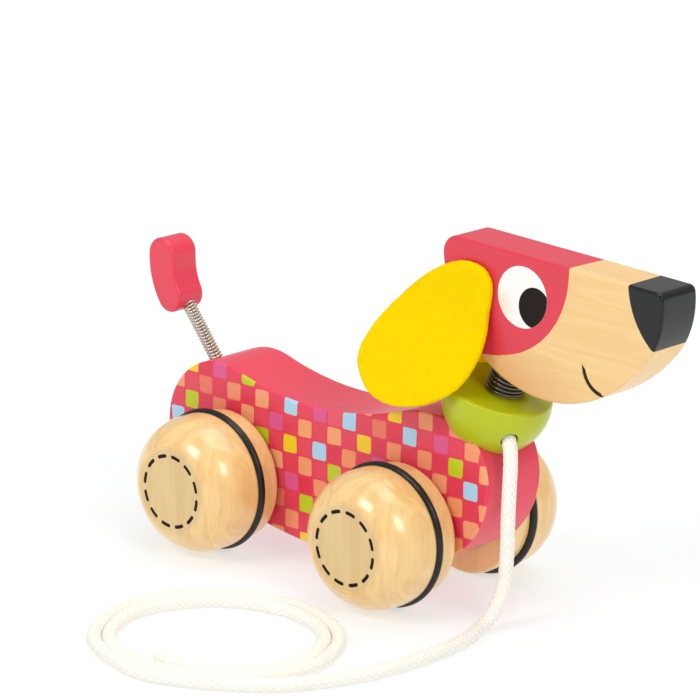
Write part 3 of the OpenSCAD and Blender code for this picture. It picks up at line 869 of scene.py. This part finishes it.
def wheel_profile():
    """(radius, y) from the hub's inner side out to the flat face, with the tyre's groove."""
    edge = (FACE_R, HUB_OUT - FACE_EDGE)
    lift, span = WHEEL_R - edge[0], edge[1] - SHOULDER_AT
    dome_r = (span * span + lift * lift - FACE_EDGE ** 2) / (2 * (lift - FACE_EDGE))
    shoulder = (WHEEL_R - dome_r, SHOULDER_AT)
    join = heading(shoulder, edge)
    groove = RING + 0.02
    points = [(0, HUB_IN), (22.2, HUB_IN), (23.0, HUB_IN + 0.3), (23.4, HUB_IN + 0.8),
              (BACK_R, HUB_IN + 1.4), (BACK_R, TYRE_AT - 1.7)]
    points += [(RING_R - groove * math.cos(a), TYRE_AT + groove * math.sin(a))
               for a in map(math.radians, range(-60, 61, 12))]
    points += [(WHEEL_R - 0.1, TYRE_AT + 1.6), (WHEEL_R, TYRE_AT + 2.4)]
    points += [tuple(p) for p in arc(shoulder, dome_r, 0, join, step=4)]
    points += [tuple(p) for p in arc(edge, FACE_EDGE, join, math.pi / 2, step=6)]
    points += [(FACE_R, HUB_OUT), (8, HUB_OUT), (0, HUB_OUT)]
    return [(r, -y) for r, y in points]


ring_angles = [TAU * i / 24 for i in range(25)]
ring_profile = [(RING_R + RING * math.cos(a), RING * math.sin(a) - TYRE_AT) for a in ring_angles]
turned_kinds = (("wheel", wheel_profile(), mat_wheel, "varnished_wood"),
                ("tyre", ring_profile, mat_rubber, "tyre_rubber"))
for end, sign in (("front", 1), ("rear", -1)):
    for hand, turn in (("right", 0.0), ("left", math.pi)):
        at = (Matrix.Translation(Vector((sign * AXLE_X + OFFSET, 0, AXLE_Z)) * MM)
              @ Matrix.Rotation(turn, 4, "Z"))
        for kind, points, material, slot in turned_kinds:
            ob = lathe(f"{kind}_{end}_{hand}_turned", points, material, segments=160)
            ob.matrix_world = at
            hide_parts(f"{kind}_{end}_{hand}")
            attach(ob, f"{end}_wheelset")

# ---- Springs: each in two halves, cut at one joint ----


def spring(name, axis, length, outer_d, wire, turns, hinge, reach, material, steps, sides):
    """A wire helix round a line, cut at the hinge into two halves. The reach is not used.
    axis(t) gives the line's point and direction at a share t of its length."""
    r = (outer_d - wire) / 2
    n = int(turns * steps)
    points, shares = [], []
    for i in range(n + 1):
        t = (wire / 2 + (length - wire) * i / n) / length
        at, way = axis(t)
        other = way.cross(LEFT).normalized()
        a = TAU * i / steps
        points.append(at + (LEFT * math.cos(a) + other * math.sin(a)) * r)
        shares.append(t)
    middle, way = axis(hinge)
    cut = min(range(n + 1), key=lambda i: abs(shares[i] - hinge))
    lower = tube(name + "_lower", points[:cut + 1], wire / 2, sides, material)
    upper = tube(name + "_upper", points[cut:], wire / 2, sides, material)
    (middle - way * reach) * MM
    middle * MM
    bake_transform(lower)
    middle * MM
    (middle + way * reach) * MM
    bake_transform(upper)
    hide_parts(name)


spring("neck_spring", neck_axis, NECK_LENGTH, outer_d=14.0, wire=1.3, turns=5,
       hinge=0.5, reach=4.6, material=mat_neck, steps=48, sides=12)

TAIL_UP, TAIL_LENGTH, TAIL_SUNK, TAIL_HINGE = leaning(math.radians(-40)), 34, 6.5, 18
TAIL_FROM = math.radians(126)
tail_root = Vector((RUMP[0] + RUMP_R * math.cos(TAIL_FROM) + OFFSET, 0,
                    RUMP[1] + RUMP_R * math.sin(TAIL_FROM)))


def tail_axis(t):
    """The same as neck_axis for the tail, which is straight and starts inside the body."""
    return tail_root + TAIL_UP * (TAIL_LENGTH * t - TAIL_SUNK), TAIL_UP


spring("tail_spring", tail_axis, TAIL_LENGTH, outer_d=5.2, wire=0.8, turns=28,
       hinge=TAIL_HINGE / TAIL_LENGTH, reach=11,
       material=mat_tail, steps=28, sides=8)

# ---- Ears ----

EAR = [
    (27.4, 120), (35.9, 122.9), (44.2, 121.9), (48, 116.7), (47.5, 106.4), (47.9, 93.6),
    (43.6, 82.4), (33.2, 75), (20.9, 71.8), (8.9, 73.1), (0.4, 78.9), (-2.2, 86.8), (3.9, 99.9),
    (16.9, 113.2),
]
EAR_T, EAR_MIDDLE, HEAD_SIDE = 3.0, Vector((24, 96)), HEAD_T / 2 + 0.05
# The sheet lies flat down to BEND_Z, turns outwards round BEND_R, and goes on straight at FLARE
BEND_Z, BEND_R, FLARE = 113.0, 40.0, math.radians(24)
EDGE_FROM, EDGE_SHARE = 0.952, 0.048    # where the cut edge starts to round off, going outwards


def ear_offset(z):
    """How far the ear stands out from the head's side at a height."""
    drop, bend = BEND_Z - z, BEND_R * math.sin(FLARE)
    if drop <= 0:
        return 0.0
    if drop <= bend:
        return BEND_R - math.sqrt(BEND_R ** 2 - drop ** 2)
    return BEND_R * (1 - math.cos(FLARE)) + (drop - bend) * math.tan(FLARE)


def ear(name, side, seed):
    """A felt sheet cut to an egg shape, soft at its cut edge and slightly uneven all over."""
    rng = random.Random(seed)
    rim = closed_curve(EAR, 26)
    n = len(rim)
    rough = [rng.uniform(-1, 1) for _ in range(n)]
    woolly = [0.09 * w + 0.12 * (rough[i - 1] + rough[i - 2] + rough[i - 3]) / 3
              for i, w in enumerate(rough)]
    # Rings from the cut edge to the middle, closest together at the edge
    shares = [1.0 - 0.012 * k for k in range(5)] + [0.94 - 0.06 * k for k in range(1, 15)]
    wave = [rng.uniform(0, TAU) for _ in range(2)]

    def lift(p):
        """How far the sheet's middle stands out at a place, with gentle waves in the loose part."""
        loose = min(1.0, max(0.0, (BEND_Z - p.y) / 30))
        sway = (0.28 * math.sin(p.x * 0.13 + wave[0])
                + 0.22 * math.sin(p.y * 0.19 + p.x * 0.08 + wave[1]))
        return HEAD_SIDE + EAR_T / 2 + ear_offset(p.y) + loose * sway

    verts, layers = [], []
    for face in (1, -1):
        rings = []
        for k, s in enumerate(shares):
            if face == -1 and k == 0:
                rings.append(layers[0][0])      # both faces share the rim
                continue
            half = EAR_T / 2 * math.sqrt(max(0.0, 1 - (max(0.0, s - EDGE_FROM) / EDGE_SHARE) ** 2))
            fuzz = 1.0 if s > 0.97 else 0.0
            rings.append(range(len(verts), len(verts) + n))
            for p, w in zip(rim, woolly):
                p = EAR_MIDDLE.lerp(p, s + fuzz * (w - 0.1) / (p - EAR_MIDDLE).length)
                verts.append((p.x, side * (lift(p) + face * half), p.y))
        layers.append(rings)
    faces = []
    for rings in layers:
        for outer, inner in zip(rings, rings[1:]):
            faces += [(outer[i - 1], outer[i], inner[i], inner[i - 1]) for i in range(n)]
        faces.append(tuple(rings[-1]))
    ob = new_object(name, verts, faces, mat_felt)
    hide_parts(name.replace("_felt", ""))
    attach(ob, "head")


ear("ear_left_felt", 1, 3)
ear("ear_right_felt", -1, 8)

# ---- Small parts kept as CAD ----

finishes = {"front_axle": mat_plain, "rear_axle": mat_plain, "collar_dowel": mat_plain,
            "neck_peg_collar": mat_plain, "neck_peg_head": mat_plain, "cord_knot": mat_cotton}
for name, finish in finishes.items():
    nodes[name].data.materials.clear()
    nodes[name].data.materials.append(finish.m)

# ---- Floor and light ----

mat_floor = Material("floor", 0.75)
# A touch of green-blue in the floor offsets the red light that the body throws on it
mat_floor.set("Base Color", mat_floor.mix(mat_floor.noise(size=60, detail=2), (0.39, 0.412, 0.415),
                                          (0.38, 0.402, 0.405)))
mat_floor.set("Emission Color", (1, 1, 1))
# The sweep glows more away from the toy, so that it runs out to white
GLOW_FROM, GLOW_OVER = 250.0, 700.0
far = ((hypot(mat_floor.x, mat_floor.y) - GLOW_FROM) / GLOW_OVER).clamp()
mat_floor.set("Emission Strength", far * 0.3 + 0.58)
FLOOR_HALF, FLOOR_Z = 6000, -0.05
floor = new_object("floor", [(x * FLOOR_HALF, y * FLOOR_HALF, FLOOR_Z)
                             for x, y in ((-1, -1), (1, -1), (1, 1), (-1, 1))],
                   [(0, 1, 2, 3)], mat_floor, smooth=False)


def softbox(name, place, aim, size, watts):
    """A rectangular light at a place in metres, turned to face another."""
    light = bpy.data.lights.new(name, "AREA")
    light.shape, light.size, light.size_y, light.energy = "RECTANGLE", size[0], size[1], watts
    ob = bpy.data.objects.new(name, light)
    scene.collection.objects.link(ob)
    ob.location = place
    ob.rotation_mode = "QUATERNION"
    ob.rotation_quaternion = (Vector(aim) - Vector(place)).to_track_quat("-Z", "Y")


softbox("key", (-0.25, -1.2, 1.2), (0, 0, 0.05), (0.6, 0.5), 8.5)
softbox("fill", (1.25, -0.45, 0.95), (0, 0, 0.06), (0.5, 0.6), 6)
softbox("overhead", (0.1, 0.3, 1.5), (0, 0, 0), (1.2, 1.2), 9)
world = bpy.data.worlds.new("world")
scene.world = world
world.use_nodes = True
sky = world.node_tree.nodes["Background"]
sky.inputs["Color"].default_value = (1, 1, 1, 1)
sky.inputs["Strength"].default_value = 0.5
scene.view_settings.view_transform = "Standard"
